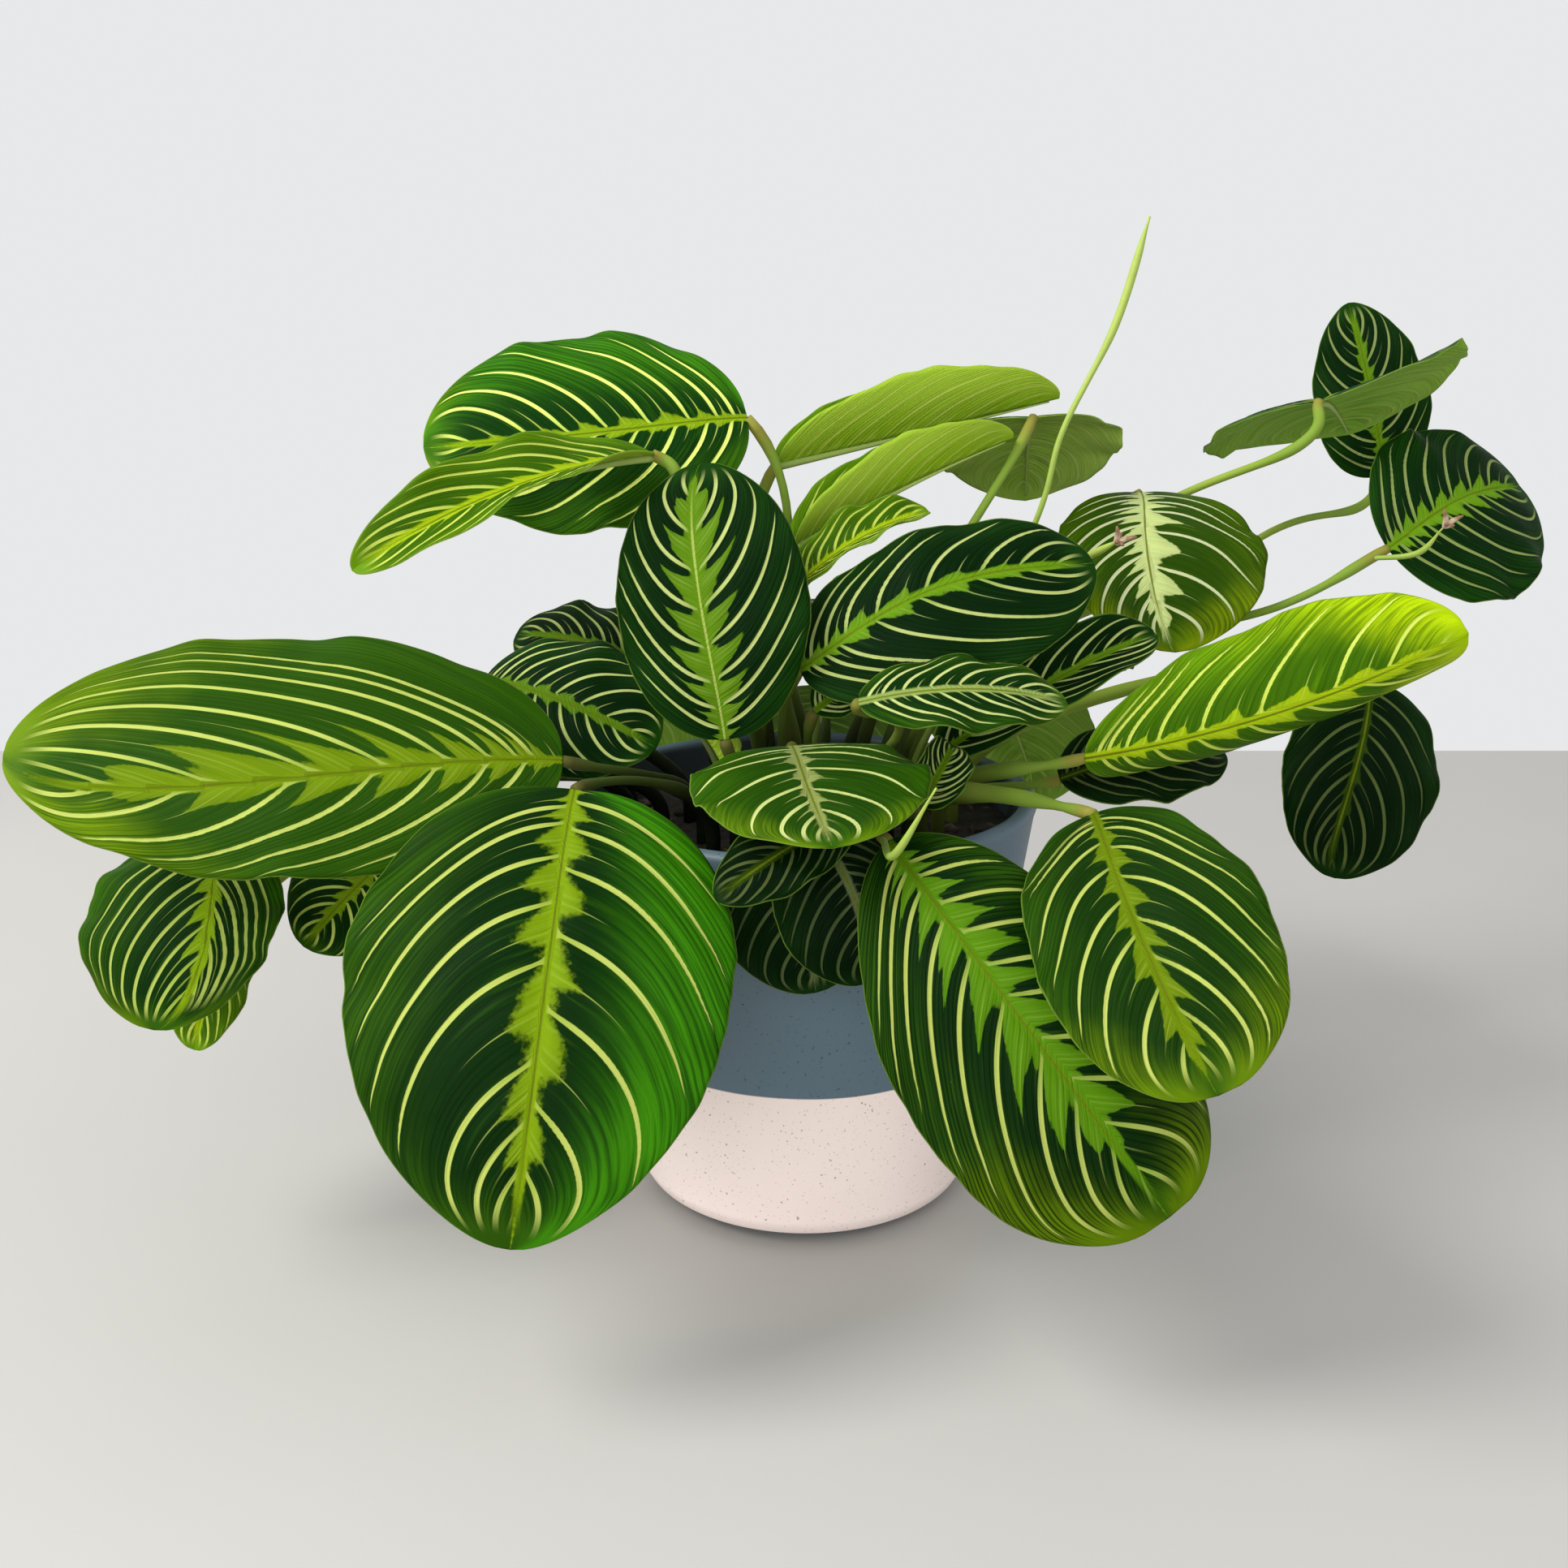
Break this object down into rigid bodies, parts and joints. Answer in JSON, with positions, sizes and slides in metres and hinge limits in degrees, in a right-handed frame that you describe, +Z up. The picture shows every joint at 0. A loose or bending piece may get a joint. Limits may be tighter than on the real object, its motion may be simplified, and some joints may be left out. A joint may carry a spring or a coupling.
{
  "type": "potted prayer plant",
  "caption": "Prayer plant with oval, lime-veined leaves on thin stalks, in a round two-tone stoneware pot filled with soil.",
  "frame": {"origin": "middle of the pot's foot, on the surface it stands on", "axes": "+Z up, +X to the right seen from the front, +Y away from the front"},
  "size_m": [0.4193, 0.2727, 0.2741],
  "materials": {
    "pot": "matte",
    "soil": "matte",
    "leaf_dark": "satin",
    "leaf_mid": "satin",
    "leaf_lime": "satin",
    "leaf_pale": "satin",
    "flower_stalk": "satin"
  },
  "bodies": {
    "root": {"pot": "pot", "soil": "soil", "leaf_upper_left": "leaf_mid", "leaf_upper_left_twisted": "leaf_lime", "leaf_upright": "leaf_dark", "leaf_far_left": "leaf_mid", "leaf_left_mid": "leaf_dark", "leaf_left_back": "leaf_dark", "leaf_young_left": "leaf_lime", "leaf_front_left": "leaf_mid", "leaf_left_hanging": "leaf_mid", "leaf_left_lowest": "leaf_lime", "leaf_left_under": "leaf_mid", "leaf_rim_left": "leaf_dark", "leaf_rim_right": "leaf_dark", "leaf_rim_under": "leaf_dark", "leaf_to_viewer": "leaf_mid", "leaf_middle": "leaf_dark", "leaf_middle_small": "leaf_mid", "leaf_middle_dark": "leaf_dark", "leaf_core_left": "leaf_dark", "leaf_core_right": "leaf_dark", "leaf_front_right": "leaf_mid", "leaf_front_right_over": "leaf_mid", "leaf_right_lime": "leaf_lime", "leaf_right_under": "leaf_dark", "leaf_right_hanging": "leaf_dark", "leaf_right_back": "leaf_lime", "leaf_top_right": "leaf_mid", "leaf_top_right_behind": "leaf_dark", "leaf_far_right": "leaf_dark", "leaf_top_rolled": "leaf_lime", "leaf_top_pale": "leaf_lime", "leaf_top_small": "leaf_lime", "leaf_top_back": "leaf_pale", "leaf_back_low_left": "leaf_mid", "leaf_back_low": "leaf_dark", "leaf_back_low_right": "leaf_mid", "leaf_back_left": "leaf_dark", "leaf_back": "leaf_mid", "leaf_back_right": "leaf_dark", "leaf_back_upright": "leaf_lime", "leaf_back_high_left": "leaf_mid", "leaf_back_high": "leaf_dark", "leaf_back_high_right": "leaf_mid", "flower_stalk_tall": "flower_stalk", "flower_stalk_spent": "flower_stalk"}
  },
  "joints": []
}
